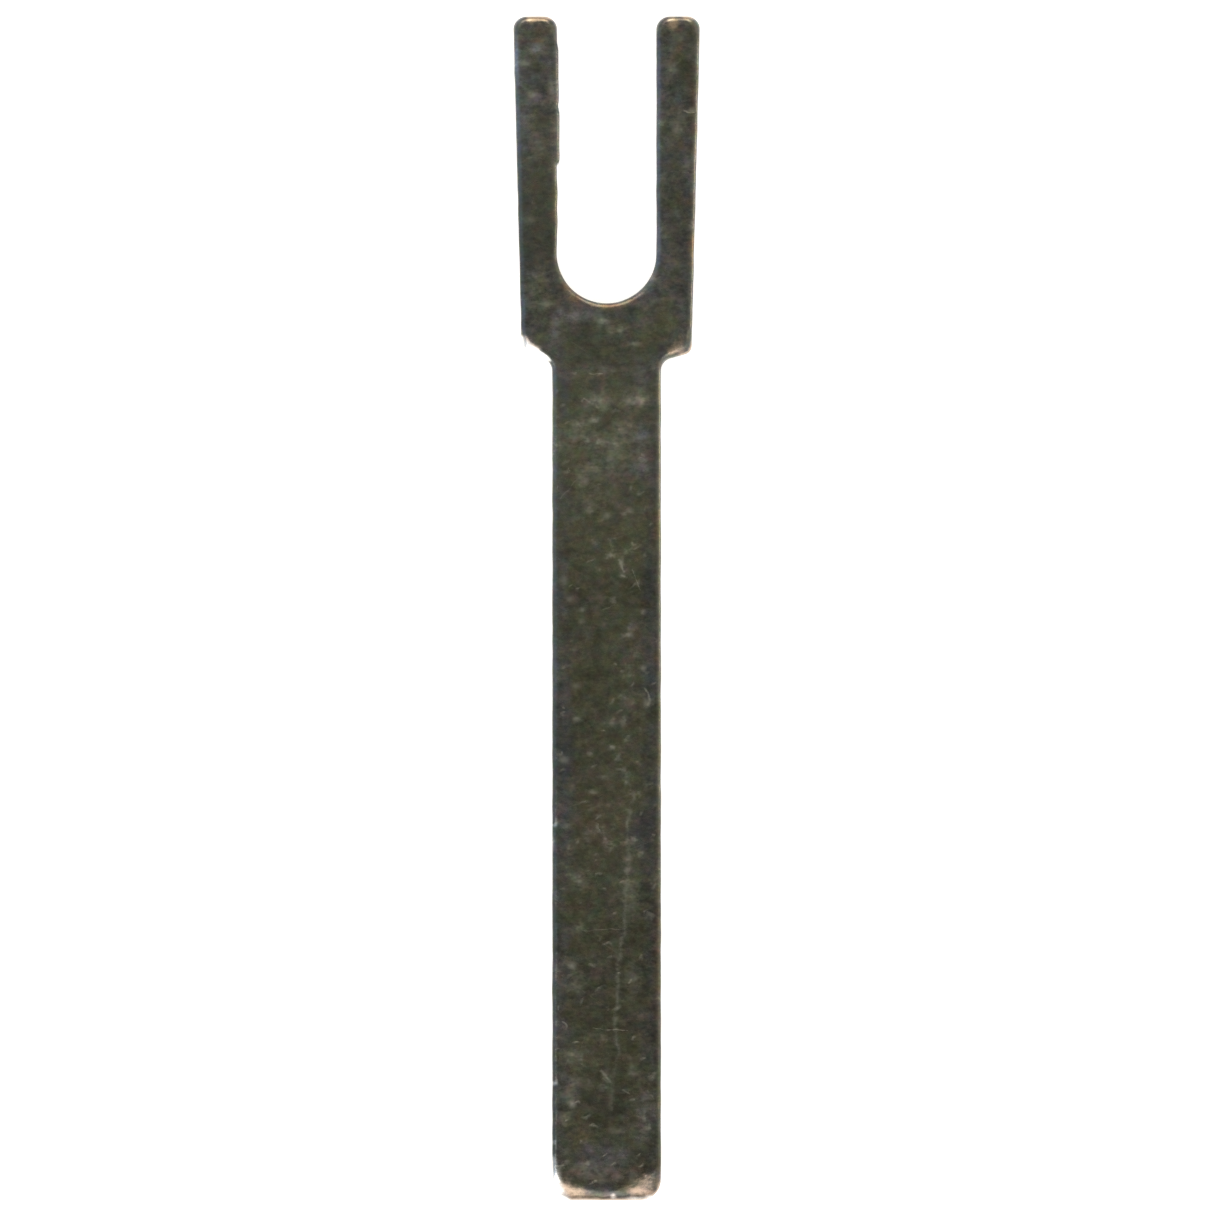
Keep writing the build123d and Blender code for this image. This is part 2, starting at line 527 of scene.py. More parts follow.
        (-1.2, 7.3, 0.25, 0.14, 0.6),
        (0.05, 7.0, 0.25, 0.2, 0.8),
        (1.7, 7.35, 0.25, 0.15, 0.9),
        (-1.6, 9.5, 0.25, 0.2, 0.6),
        (1.1, 3.4, 0.15, 0.4, 1.0),
        (1.15, 2.5, 0.2, 0.15, 0.8),
        (-1.85, -0.1, 0.2, 0.15, 0.9),
        (-1.85, -1.0, 0.25, 0.15, 0.6),
        (2.75, -0.3, 0.15, 0.2, 0.9),
        (1.75, -2.0, 0.25, 0.18, 0.7),
        (2.75, -4.5, 0.18, 0.18, 1.0),
        (-3.2, 2.1, 0.25, 0.5, 0.5),
        (-2.8, 0.7, 0.25, 0.3, 0.5),
        (-2.3, -5.8, 0.3, 0.2, 0.5),
        (3.0, -7.2, 0.25, 0.3, 0.9),
        (-2.3, -8.3, 0.3, 0.2, 0.9),
        (0.4, -8.7, 0.2, 0.15, 0.6),
        (1.25, -8.7, 0.2, 0.2, 0.5),
        (0.4, -10.4, 0.2, 0.15, 0.7),
        (-1.25, -10.9, 0.2, 0.15, 0.9),
        (-3.2, -11.4, 0.3, 0.25, 0.7),
        (-0.1, -12.7, 0.5, 0.12, 0.7),
        (-1.0, -13.8, 0.3, 0.12, 0.8),
        (-0.6, -15.6, 0.25, 0.15, 0.6),
        (-1.4, -17.4, 0.25, 0.15, 0.5),
        (-3.0, -16.35, 0.3, 0.18, 0.6),
        (-2.6, -26.9, 0.25, 0.25, 0.8),
        (-2.6, -37.25, 0.22, 0.25, 0.9),
        (-4.8, 37.9, 0.15, 0.15, 0.6),
        (6.5, 37.45, 0.35, 0.09, 0.9),
        (-3.0, -41.6, 0.2, 0.15, 0.7),
    ),
    # Worn copper at the handle's corners and the shoulders, and painted highlights on the tips, the right
    # shoulder and the slot's rim.
    "worn_and_highlight": (
        (-2.2, -43.8, 1.1, 0.6, 0.52),
        (-3.0, -43.2, 0.8, 0.75, 0.55),
        (2.8, -42.9, 0.95, 1.15, 0.52),
        (2.2, -43.7, 0.9, 0.35, 0.5),
        (0.0, -44.6, 5.0, 0.4, 0.7),
        (3.4, -44.1, 0.5, 0.3, 0.6),
        (3.9, -43.4, 0.25, 0.5, 0.5),
        (5.55, 20.3, 0.4, 0.5, 0.5),
        (5.2, 19.8, 0.45, 0.45, 0.55),
        (4.8, 19.35, 0.4, 0.3, 0.8),
        (5.9, 19.15, 0.7, 0.22, 0.45),
        (6.35, 19.6, 0.2, 0.5, 0.5),
        (-5.6, 19.5, 0.7, 0.5, 0.9),
        (-6.1, 19.9, 0.5, 0.6, 1.0),
        (-5.7, 44.2, 0.5, 0.4, 0.8),
        (-4.7, 44.4, 0.8, 0.4, 0.75),
        (4.95, 43.95, 0.55, 0.6, 0.9),
        (6.1, 44.4, 0.5, 0.3, 0.7),
        (-4.05, 37.0, 0.4, 1.2, 0.42),
        (-4.05, 35.2, 0.4, 1.5, 0.46),
        (0.0, 22.85, 1.4, 0.24, 0.3),
        (-1.9, 23.4, 0.8, 0.28, 0.32),
        (1.9, 23.4, 0.8, 0.28, 0.28),
        (-2.8, 24.2, 0.45, 0.5, 0.42),
        (2.8, 24.2, 0.45, 0.5, 0.3),
        (-3.5, 25.2, 0.2, 0.7, 0.36),
    ),
    # Painted highlights, coloured as bare metal: the glints on the left shoulder, the lower left corner, the
    # left edge's dents, the handle's end and the tips.
    "bare_and_highlight": (
        (-6.4, 20.2, 0.3, 0.35, 0.9),
        (-6.2, 19.8, 0.5, 0.4, 1.0),
        (-5.6, 19.3, 0.7, 0.4, 1.0),
        (-4.9, 18.95, 0.5, 0.3, 1.0),
        (-4.45, 18.65, 0.3, 0.25, 0.7),
        (-4.05, -41.5, 0.42, 0.7, 0.5),
        (-3.9, -42.8, 0.5, 0.8, 1.0),
        (-3.65, -43.85, 0.5, 0.5, 1.0),
        (-3.2, -44.4, 0.5, 0.35, 0.9),
        (-3.95, -40.1, 0.3, 0.3, 0.45),
        (-3.95, -35.7, 0.3, 0.22, 0.5),
        (-3.9, -16.3, 0.3, 0.22, 0.5),
        (-4.05, -17.9, 0.22, 1.2, 0.35),
        (-4.05, -28.0, 0.22, 1.4, 0.2),
        (0.5, -44.2, 0.25, 0.25, 0.6),
        (2.2, -44.35, 1.0, 0.2, 0.55),
        (3.2, -44.25, 0.4, 0.2, 0.5),
        (4.8, 44.2, 0.4, 0.25, 0.5),
        (6.25, 44.2, 0.35, 0.25, 0.45),
        (-5.8, 44.2, 0.3, 0.25, 0.45),
        (5.75, 20.5, 0.15, 0.3, 0.4),
    ),
}


def patch(points, name):
    """How much of one kind of patch lies at each point."""
    clear = np.ones(len(points))
    for x, y, half_width, half_length, strength in PATCHES[name]:
        offset = (points / MM - np.array([x, y])) / np.array([half_width, half_length])
        clear *= 1 - strength * np.exp(-((offset**2).sum(axis=1)))
    return 1 - clear


# ---------------------------------------------------------------- the fork's mesh

# Distances in from the outline of the rings that follow it across the show side, in millimetres.
SHOW_RINGS = (0.0, 0.012, 0.03, 0.055, 0.085, 0.12, 0.16, 0.205, 0.255, 0.31, 0.37, 0.44)
BACK_RINGS = (0.0, 0.02, 0.05, 0.09, 0.14, 0.2, 0.28)
SIDE_LEVELS = 9
SHOW_SPACING = 0.2 * MM
BACK_SPACING = 0.36 * MM


class Blank:
    """The outline, and what the fork's surfaces take from it at any point."""

    def __init__(self, sizes, edges):
        self.edges = edges
        self.corners = blank_corners(sizes)
        self.slot_radius = sizes.slot_width / 2
        self.slot_middle = np.array([0, HIGHEST.y - sizes.slot_depth + self.slot_radius])
        self.points, self.normals = outline_of(self.corners)
        check_outline(self.points)
        wander = ripples(self.points, 24, 1.2 * MM, 6 * MM, 1) * 0.012 * MM
        stand_out = burr(self.points, sizes, edges) + wander + 0.015 * MM
        self.points = self.points + self.normals * stand_out[:, None]
        self.thickness = HIGHEST.z - LOWEST.z
        self.tree = kdtree.KDTree(len(self.points))
        for i, (x, y) in enumerate(self.points):
            self.tree.insert((x, y, 0), i)
        self.tree.balance()

    def inset(self, points):
        """How far in from the outline each point is."""
        return np.array([self.tree.find((x, y, 0))[2] for x, y in points])

    def corner_wear(self, points):
        """How deep in a worn facet each point is, from 0 to 1, and how far it is bent down."""
        deepest, bent = np.zeros(len(points)), np.zeros(len(points))
        for i, wear in WORN_CORNERS.items():
            offset = points - np.array([self.corners[i].x, self.corners[i].y])
            close = eased((2.1 * wear.reach - np.linalg.norm(offset, axis=1)) / (0.7 * MM))
            deep = np.clip(1 + offset @ np.array(wear.facing) / wear.reach, 0, 1) * close
            deepest = np.maximum(deepest, deep)
            bent = np.maximum(bent, wear.drop * deep**1.3)
        return deepest, bent

    def near_end(self, points):
        """1 along the tips, the handle's end and the slot's bottom, and 0 a little way from them."""
        away = np.minimum(HIGHEST.y - points[:, 1], points[:, 1] - LOWEST.y)
        offset = points - self.slot_middle
        beyond = np.linalg.norm(offset, axis=1) - self.slot_radius
        low = eased(-1.2 * offset[:, 1] / self.slot_radius) * (beyond < 1.2 * MM)
        return np.maximum(eased(1.6 - away / (1.2 * MM)), low)

    def show_height(self, points, inset):
        """Height of the show side, which is drawn down at the edges and uneven all over."""
        edges, end = self.edges, self.near_end(points)
        corner, bent = self.corner_wear(points)
        width = edges.roll_width + (edges.end_roll_width - edges.roll_width) * end
        depth = edges.roll_depth + (edges.end_roll_depth - edges.roll_depth) * end
        width = width + (edges.corner_roll_width - width) * corner
        depth = depth + (edges.corner_roll_depth - depth) * corner
        inward = np.clip(1 - inset / width, 0, 1)
        roll = depth * (1 - np.sqrt(1 - inward**2))
        crown = edges.crown_drop * np.clip(1 - inset / edges.crown_width, 0, 1) ** 2
        long_waves = ripples(points, 30, 5 * MM, 16 * MM, 2) * 0.016 * MM
        short_waves = ripples(points, 60, 1.2 * MM, 3.0 * MM, 3) * 0.004 * MM
        uneven = (long_waves + short_waves - 0.03 * MM) * eased(inset / (0.8 * MM))
        return HIGHEST.z - roll - crown - bent - dents(points) + uneven

    def back_height(self, points, inset):
        """Height of the back, which is flat apart from its tumbled edge."""
        radius = self.edges.back_radius
        inward = np.clip(1 - inset / radius, 0, 1)
        roll = radius * (1 - np.sqrt(1 - inward**2))
        uneven = (ripples(points, 30, 3 * MM, 12 * MM, 4) + 1.5) * 0.006 * MM
        return LOWEST.z + roll + np.maximum(uneven, 0) * eased(inset / (0.6 * MM))


def inside(points, loop):
    """Which points lie inside a closed loop."""
    x, y = points[:, 0], points[:, 1]
    odd = np.zeros(len(points), bool)
    for (x1, y1), (x2, y2) in zip(loop, np.roll(loop, -1, axis=0)):
        if y1 != y2:
            crosses = (y1 > y) != (y2 > y)
            odd ^= crosses & (x < (x2 - x1) * (y - y1) / (y2 - y1) + x1)
    return odd


def field_points(blank, loop, margin, spacing):
    """Nearly evenly spaced points that fill a loop up to a margin."""
    rows = np.arange(LOWEST.y, HIGHEST.y, spacing * math.sqrt(3) / 2)
    columns = np.arange(LOWEST.x, HIGHEST.x, spacing)
    grid = [(x + spacing / 2 * (i % 2), y) for i, y in enumerate(rows) for x in columns]
    random = np.random.default_rng(RANDOM_SEED)
    grid = np.array(grid) + random.uniform(-0.12, 0.12, (len(grid), 2)) * spacing
    grid = grid[inside(grid, loop)]
    inset = blank.inset(grid)
    clear = inset > margin
    return grid[clear], inset[clear]


def fill(bm, ring, points, heights):
    """Fills a ring of vertices with triangles through more points."""
    flat = [Vector((v.co.x, v.co.y)) / MM for v in ring]
    flat += [Vector(p) / MM for p in points]
    loop = list(range(len(ring)))
    _, _, faces, origins, _, _ = geometry.delaunay_2d_cdt(flat, [], [loop], 1, 1e-5)
    vertices = list(ring)
    vertices += [bm.verts.new((x, y, z)) for (x, y), z in zip(points, heights)]
    for face in faces:
        bm.faces.new([vertices[origins[i][0]] for i in face])


def fork_mesh(blank):
    """One closed mesh: show side, sheared and broken sides, and back, ring inside ring."""
    bm = bmesh.new()
    rings = []

    def add_ring(inset, heights):
        points = blank.points - blank.normals * np.broadcast_to(inset, len(blank.points))[:, None]
        if callable(heights):
            heights = heights(points, np.broadcast_to(inset, len(points)))
        rings.append([bm.verts.new((x, y, z)) for (x, y), z in zip(points, heights)])

    for inset in reversed(SHOW_RINGS):
        add_ring(inset * MM, blank.show_height)
    shoulder = np.array([v.co.z for v in rings[-1]])
    foot = LOWEST.z + blank.edges.back_radius
    land_end = shoulder - blank.edges.land * (1 + 0.2 * ripples(blank.points, 20, 1.5 * MM, 9 * MM, 5))
    land_end = np.clip(land_end, foot + 0.2 * MM, shoulder - 0.1 * MM)
    around = np.arange(len(blank.points)) * OUTLINE_STEP
    for level in range(1, SIDE_LEVELS + 1):
        down = level / SIDE_LEVELS
        height = shoulder + (foot - shoulder) * down
        broken = np.clip((land_end - height) / (land_end - foot), 0, 1)
        torn = ripples(np.stack([around, height], 1), 40, 0.35 * MM, 1.2 * MM, 6) * 0.008 * MM
        lean = blank.edges.break_taper * broken + torn * eased(broken * 4)
        add_ring(lean, height)
    foot_inset = lean
    for inset in BACK_RINGS[1:]:
        add_ring(foot_inset + inset * MM, lambda p, d: blank.back_height(p, d - foot_inset))

    for ring, following in zip(rings, rings[1:]):
        for i in range(len(ring)):
            j = (i + 1) % len(ring)
            bm.faces.new((ring[i], following[i], following[j], ring[j]))
    for ring, spacing, height_at in (
        (rings[0], SHOW_SPACING, blank.show_height),
        (rings[-1], BACK_SPACING, blank.back_height),
    ):
        loop = np.array([v.co.xy for v in ring])
        margin = blank.inset(loop[:1])[0] + 0.55 * spacing
        points, inset = field_points(blank, loop, margin, spacing)
        fill(bm, ring, points, height_at(points, inset))
    bmesh.ops.recalc_face_normals(bm, faces=bm.faces)
    mesh = bpy.data.meshes.new(FORK)
    bm.to_mesh(mesh)
    bm.free()
    mesh.shade_smooth()
    return mesh


def store(mesh, name, values):
    """Keeps a number for each vertex, for the plating to read."""
    attribute = mesh.attributes.new(name, "FLOAT", "POINT")
    attribute.data.foreach_set("value", np.asarray(values, np.float32))


# ---------------------------------------------------------------- shader expressions


class Value:
    """A shader number that Python's operators work on."""

    def __init__(self, nodes, socket):
        self.nodes = nodes
        self.socket = socket

    def __add__(self, other):
        return self.nodes.math("ADD", self, other)

    def __sub__(self, other):
        return self.nodes.math("SUBTRACT", self, other)

    def __rsub__(self, other):
        return self.nodes.math("SUBTRACT", other, self)

    def __mul__(self, other):
        return self.nodes.math("MULTIPLY", self, other)

    def __truediv__(self, other):
        return self.nodes.math("DIVIDE", self, other)

    __radd__ = __add__
    __rmul__ = __mul__


class Nodes:
    """Adds nodes to a tree, one call for each node or expression."""

    def __init__(self, tree):
        self.tree = tree
        tree.nodes.clear()

    def add(self, kind, settings=None, sockets=None, output=0):
        """One node of any kind. Sockets take numbers, colours or other nodes' values."""
        node = self.tree.nodes.new(kind)
        for name, value in (settings or {}).items():
            setattr(node, name, value)
        for key, value in (sockets or {}).items():
            if isinstance(value, Value):
                self.tree.links.new(value.socket, node.inputs[key])
            else:
                node.inputs[key].default_value = value
        return Value(self, node.outputs[output]) if node.outputs else None

    def attribute(self, name):
        """A number that store() kept for each vertex."""
        return self.add("ShaderNodeAttribute", {"attribute_name": name}, output=2)

    def math(self, operation, first, second=0.0, clamp=False):
        """A Math node."""
        settings = {"operation": operation, "use_clamp": clamp}
        return self.add("ShaderNodeMath", settings, {0: first, 1: second})

    def clamped(self, value):
        """The value, kept between 0 and 1."""
        return self.math("ADD", value, 0.0, clamp=True)

    def between(self, value, low, high):
        """0 up to low, 1 from high on, and soft in between. High may be less than low."""
        settings = {"interpolation_type": "SMOOTHSTEP"}
        if low < high:
            return self.add("ShaderNodeMapRange", settings, {0: value, 1: low, 2: high})
        return 1 - self.add("ShaderNodeMapRange", settings, {0: value, 1: high, 2: low})

    def mixed(self, factor, first, second):
        """One colour laid over another."""
        settings = {"data_type": "RGBA"}
        return self.add("ShaderNodeMix", settings, {0: factor, 6: first, 7: second}, output=2)

    def vector(self, operation, first, second=(0, 0, 0), output=0):
        """A Vector Math node."""
        return self.add("ShaderNodeVectorMath", {"operation": operation}, {0: first, 1: second}, output)

    def scaled(self, vector, factor):
        """A vector or a colour times a number."""
        return self.add("ShaderNodeVectorMath", {"operation": "SCALE"}, {0: vector, 3: factor})

    def noise(self, place, scale, detail=2.0, roughness=0.5):
        """A noise texture's value, about 0.5."""
        sockets = {
            "Vector": place,
            "Scale": scale,
            "Detail": detail,
            "Roughness": roughness,
        }
        return self.add("ShaderNodeTexNoise", {}, sockets)

    def stretched(self, place, angle, along, across):
        """The place in a frame turned by an angle and squeezed, which draws noise into streaks."""
        settings = {"vector_type": "TEXTURE"}
        sockets = {"Vector": place, "Rotation": (0, 0, angle), "Scale": (along, across, 1)}
        return self.add("ShaderNodeMapping", settings, sockets)

    def line(self, place, start, end, width):
        """1 along a straight scratch between two points, and 0 from its width on."""
        run = Vector((*end, 0)) - Vector((*start, 0))
        offset = self.vector("SUBTRACT", place, (*start, 0))
        along = self.vector("DOT_PRODUCT", offset, run / run.length_squared, output=1)
        nearest = self.scaled(run, self.clamped(along))
        away = self.vector("DISTANCE", offset, nearest, output=1)
        return self.clamped(1 - away / width)


def solid(rgb):
    """A colour property as a socket takes it."""
    return (*rgb, 1.0)


# ---------------------------------------------------------------- the plating

# Scratches on the show side: start and end, across and along the fork, and width, in
# millimetres, and strength.
SCRATCHES = (
    ((-1.0, -31.7), (1.5, -31.7), 0.06, 0.7),
    ((-1.9, -24.15), (1.3, -24.1), 0.05, 0.5),
    ((1.9, 3.0), (2.5, 1.4), 0.06, 0.6),
    ((0.9, 3.7), (1.3, 2.8), 0.12, 0.9),
    ((1.1, 2.5), (1.35, 2.3), 0.12, 0.9),
    ((2.9, -6.1), (3.2, -7.3), 0.12, 0.9),
    ((-3.4, 8.2), (-2.3, 9.6), 0.05, 0.4),
    ((-1.2, 17.7), (-0.2, 17.6), 0.07, 0.7),
    ((-1.7, 15.9), (-0.6, 15.2), 0.10, 0.6),
    ((4.6, 32.9), (6.2, 32.7), 0.06, 0.4),
    ((-6.0, 33.9), (-4.8, 33.8), 0.05, 0.4),
    ((5.9, 37.45), (6.7, 37.3), 0.09, 1.0),
    ((-0.3, 0.0), (0.5, 0.2), 0.06, 0.4),
    ((-0.4, -34.6), (0.2, -35.5), 0.15, 0.5),
    ((1.2, -36.1), (1.7, -36.4), 0.12, 0.5),
    ((2.9, -36.3), (3.4, -36.9), 0.10, 0.4),
    ((-3.3, -31.0), (-3.0, -31.5), 0.10, 0.7),
)

# The long pale drag mark down the lower handle, point by point, in millimetres.
DRAG_MARK = (
    (2.0, -14.2),
    (1.65, -15.6),
    (1.6, -19.2),
    (1.35, -22.0),
    (1.3, -24.6),
    (0.95, -26.2),
    (0.9, -29.0),
    (0.7, -31.4),
    (0.85, -33.4),
    (0.35, -35.4),
    (0.4, -37.6),
)


def dings(nodes, flat):
    """Small dings scattered over the face, each 1 at its middle."""
    swirl = nodes.add("ShaderNodeTexNoise", {}, {"Vector": flat, "Scale": 1.1}, output=1)
    swirled = nodes.vector("ADD", flat, nodes.scaled(swirl, 1.3))
    settings = {"voronoi_dimensions": "2D"}
    sockets = {"Vector": nodes.stretched(swirled, 0.5, 1.5, 0.8), "Scale": 0.82}
    away = nodes.add("ShaderNodeTexVoronoi", settings, sockets)
    cell = nodes.add("ShaderNodeTexVoronoi", settings, sockets, output=1)
    lot = nodes.add("ShaderNodeSeparateXYZ", {}, {0: cell}, output=0)
    size = nodes.add("ShaderNodeSeparateXYZ", {}, {0: cell}, output=1)
    return nodes.between(away / (0.14 + 0.14 * size), 1.0, 0.0) * nodes.between(lot, 0.58, 0.7)


def plating(looks):
    """Dark plated steel with films, clouds, dings and scratches, worn to copper and bare metal at corners,
    with painted sheen, reflection, shade and highlights.
    """
    material = bpy.data.materials.new("dark_plating")
    material.use_nodes = True
    nodes = Nodes(material.node_tree)
    place = nodes.scaled(nodes.add("ShaderNodeTexCoord", output=3), 1 / MM)
    flat = nodes.vector("MULTIPLY", place, (1, 1, 0))
    across = nodes.add("ShaderNodeSeparateXYZ", {}, {0: place}, output=0)
    along = nodes.add("ShaderNodeSeparateXYZ", {}, {0: place}, output=1)
    height = nodes.add("ShaderNodeSeparateXYZ", {}, {0: place}, output=2)
    show_side = nodes.between(height, 0.9, 1.3)
    inset, corner = (nodes.attribute(name) for name in ("inset", "corner"))
    haze_and_sheen, cool_tint_and_reflection, violet, verdigris, painted_shade, tarnish, spot, worn_and_highlight, bare_and_highlight = (
        nodes.attribute(name) * show_side for name in PATCHES
    )

    cloud = nodes.noise(place, 0.2, 2.0, 0.5)
    tint = nodes.noise(nodes.vector("ADD", place, (31, 17, 5)), 0.5, 3.0, 0.6)
    greening = nodes.noise(nodes.vector("ADD", place, (7, 53, 11)), 0.6, 3.0, 0.6)
    mottle = nodes.noise(nodes.stretched(place, 0.0, 1.15, 0.95), 1.05, 4.0, 0.7)
    grain = nodes.noise(nodes.stretched(place, 0.0, 1.6, 0.9), 4.2, 2.0, 0.7)
    ragged = 0.9 * (mottle - 0.5) + 0.3 * (grain - 0.5)
    upper_side = nodes.between(height + 1.2 * ragged, 0.9, 1.4)
    margin = nodes.between(inset + 1.5 * ragged, 1.9, 0.6)
    burnished = nodes.between(inset, 0.55, 0.15)
    on_head = nodes.between(along, 14.0, 24.0)

    # Cloudy plating at random, and painted sheen where the patches lighten the upper handle and the neck.
    hazy_and_sheen = nodes.clamped(haze_and_sheen * (1 + 2.4 * ragged))
    hazy_and_sheen = nodes.clamped(hazy_and_sheen + nodes.between(mottle + 0.5 * (cloud - 0.5), 0.62, 0.92))
    # Painted reflection: bluish along the margins and on the head, from the patches, with a random tint.
    cool_and_reflected = nodes.clamped(cool_tint_and_reflection + 0.45 * margin + 0.35 * on_head + 2.4 * (tint - 0.5))
    greened = nodes.clamped(0.6 * nodes.between(greening, 0.5, 0.72) + verdigris)
    violet = nodes.clamped(violet * (1 + 1.5 * ragged))
    # Painted shade from the darker patches, made ragged.
    painted_shading = nodes.clamped(painted_shade * (1 + 1.5 * ragged))
    browned = nodes.clamped(tarnish * (1 + 1.5 * ragged))
    browned = nodes.clamped(browned + 0.5 * nodes.between(tint + 0.3 * mottle, 0.70, 0.88))
    # Worn copper at corners and painted highlights; the outermost 0.22 mm of each patch is lightened further
    # as a painted rim highlight.
    rim_wear_and_highlight = 0.6 * worn_and_highlight * nodes.between(inset, 0.22, 0.0)
    worn_through_and_highlight = nodes.between(worn_and_highlight + rim_wear_and_highlight + 0.3 * corner + 0.9 * ragged, 0.28, 0.92)
    worn_through_and_highlight = worn_through_and_highlight * upper_side
    # Painted highlight: near-white glints coloured as bare metal.
    rubbed_and_highlight = nodes.between(bare_and_highlight + 0.4 * ragged, 0.15, 0.95) * upper_side

    hairs = 0.0
    for angle, scale in ((0.35, 1.0), (1.25, 0.8), (-0.6, 1.2)):
        streaks = nodes.noise(nodes.stretched(place, angle, 9.0 * scale, 0.12 * scale), 1.0, 1.0)
        hairs = nodes.between(streaks, 0.68, 0.76) + hairs
    wiggle = nodes.add("ShaderNodeTexNoise", {}, {"Vector": flat, "Scale": 0.7}, output=1)
    wandering = nodes.vector("ADD", flat, nodes.scaled(wiggle, 0.8))
    wandering = nodes.vector("SUBTRACT", wandering, (0.4, 0.4, 0))
    wandering = nodes.vector("MULTIPLY", wandering, (1, 1, 0))
    drag = 0.0
    for start, end in zip(DRAG_MARK, DRAG_MARK[1:]):
        drag = nodes.math("MAXIMUM", nodes.line(wandering, start, end, 0.22), drag)
    marks = 0.12 * hairs
    for start, end, width, strength in SCRATCHES:
        marks = marks + strength * nodes.line(wandering, start, end, width)
    broken_up = nodes.between(mottle + grain, 0.75, 1.15)
    marks = nodes.clamped(marks * show_side * (0.4 + 0.6 * broken_up) + spot)
    drag = drag * show_side * (0.3 + 0.7 * broken_up)
    drag = drag * (0.35 + 0.65 * nodes.between(along, -36.0, -31.0))
    dinged = dings(nodes, flat) * nodes.between(inset, 0.15, 0.4) * (1 - 0.6 * on_head)

    film = nodes.mixed(cool_and_reflected, solid(looks.plating), solid(looks.cool_tint_and_reflection))
    film = nodes.mixed(0.8 * greened, film, solid(looks.green))
    film = nodes.mixed(0.75 * browned, film, solid(looks.tarnish))
    film = nodes.mixed(0.6 * hazy_and_sheen, film, solid(looks.haze_and_sheen))
    film = nodes.mixed(0.75 * violet, film, solid(looks.violet))
    film = nodes.mixed(0.8 * painted_shading, film, solid(looks.painted_shade))
    uneven = 0.8 * (cloud - 0.5) + 1.0 * (mottle - 0.5) + 0.8 * (grain - 0.5)
    tone = 1.08 + 0.02 * on_head + uneven * (1 + 0.6 * on_head)
    # Painted sheen: lighter toward the head and darker toward the handle's end.
    tone = tone - 0.17 * nodes.between(along, 0.0, -30.0) + 0.27 * nodes.between(along, 0.0, 17.0)
    # Painted shade along the right margin, and a painted highlight that lightens the last 0.3 mm toward each
    # edge.
    right_margin_shade = margin * nodes.between(across, 0.0, 2.5) * (1 - burnished)
    film = nodes.scaled(film, tone - 0.15 * right_margin_shade + 0.2 * nodes.between(inset, 0.3, 0.05))
    speckle = nodes.add("ShaderNodeTexNoise", {}, {"Vector": place, "Scale": 1.4}, output=1)
    speckle = nodes.vector("ADD", nodes.scaled(speckle, 0.5), (0.75, 0.75, 0.75))
    film = nodes.vector("MULTIPLY", film, speckle)
    film = nodes.mixed(0.5 * drag, film, solid(looks.haze_and_sheen))
    film = nodes.mixed(nodes.clamped(0.5 * marks + 0.3 * dinged), film, solid(looks.speck))
    film = nodes.mixed(0.8 * worn_through_and_highlight, film, solid(looks.worn_and_highlight))
    film = nodes.mixed(rubbed_and_highlight, film, solid(looks.bare_and_highlight))
    roughness = looks.roughness + 0.2 * (mottle - 0.5) + 0.1 * hazy_and_sheen + 0.06 * marks
    roughness = roughness - (looks.roughness - looks.edge_roughness) * burnished

    peel = 0.035 * nodes.noise(place, 0.9, 1.0, 0.45) + 0.010 * nodes.noise(place, 2.6, 1.0)
    relief = peel - 0.006 * marks - 0.008 * dinged
    bump = nodes.add("ShaderNodeBump", {}, {"Strength": 1.0, "Distance": MM, "Height": relief})
    shader = nodes.add(
        "ShaderNodeBsdfPrincipled",
        {},
        {
            "Base Color": film,
            "Metallic": 1.0,
            "Roughness": nodes.clamped(roughness),
            "Normal": bump,
        },
    )
    nodes.add("ShaderNodeOutputMaterial", {}, {0: shader})
    return material


# ---------------------------------------------------------------- the studio

FLOOR_SIDE = 6.0
VIEW_HEIGHT = 91.2 * MM
VIEW_MIDDLE = (0.03 * MM, 0.11 * MM)
LENS = 135.0
SENSOR = 36.0


class Softbox(NamedTuple):
    """A rectangular lamp: where it hangs, its sides, how bright its face is, and its colour."""

    name: str
    place: tuple
    width: float
    depth: float
    radiance: float
    tint: tuple


SOFTBOXES = (
    Softbox("far_softbox", (0.0, 0.45, 0.40), 0.5, 0.22, 1.75, (1.0, 0.88, 0.66)),
    Softbox("near_softbox", (0.05, -0.42, 0.50), 0.5, 0.34, 1.9, (1.0, 0.91, 0.84)),
    Softbox("corner_softbox", (-0.306, -0.306, 0.34), 0.23, 0.56, 1.5, (1.0, 1.0, 0.98)),
    Softbox("right_softbox", (0.42, 0.05, 0.22), 0.10, 0.12, 2.5, (1.0, 0.86, 0.60)),
)


def floor_piece(looks):
    """A plain pale floor under the fork, lit a little from below like a light table."""
    half = FLOOR_SIDE / 2
    mesh = bpy.data.meshes.new("floor")
    mesh.from_pydata(
        [(-half, -half, LOWEST.z), (half, -half, LOWEST.z), (half, half, LOWEST.z), (-half, half, LOWEST.z)],
        [],
        [(0, 1, 2, 3)],
    )
    floor = bpy.data.objects.new("floor", mesh)
    bpy.context.scene.collection.objects.link(floor)
    material = bpy.data.materials.new("floor")
    material.use_nodes = True
    nodes = Nodes(material.node_tree)
    shader = nodes.add(
        "ShaderNodeBsdfPrincipled",
        {},
        {
            "Base Color": solid(looks.floor),
            "Roughness": 0.9,
            "Emission Color": solid(looks.floor),
            "Emission Strength": looks.floor_glow,
        },
    )
    nodes.add("ShaderNodeOutputMaterial", {}, {0: shader})
    mesh.materials.append(material)


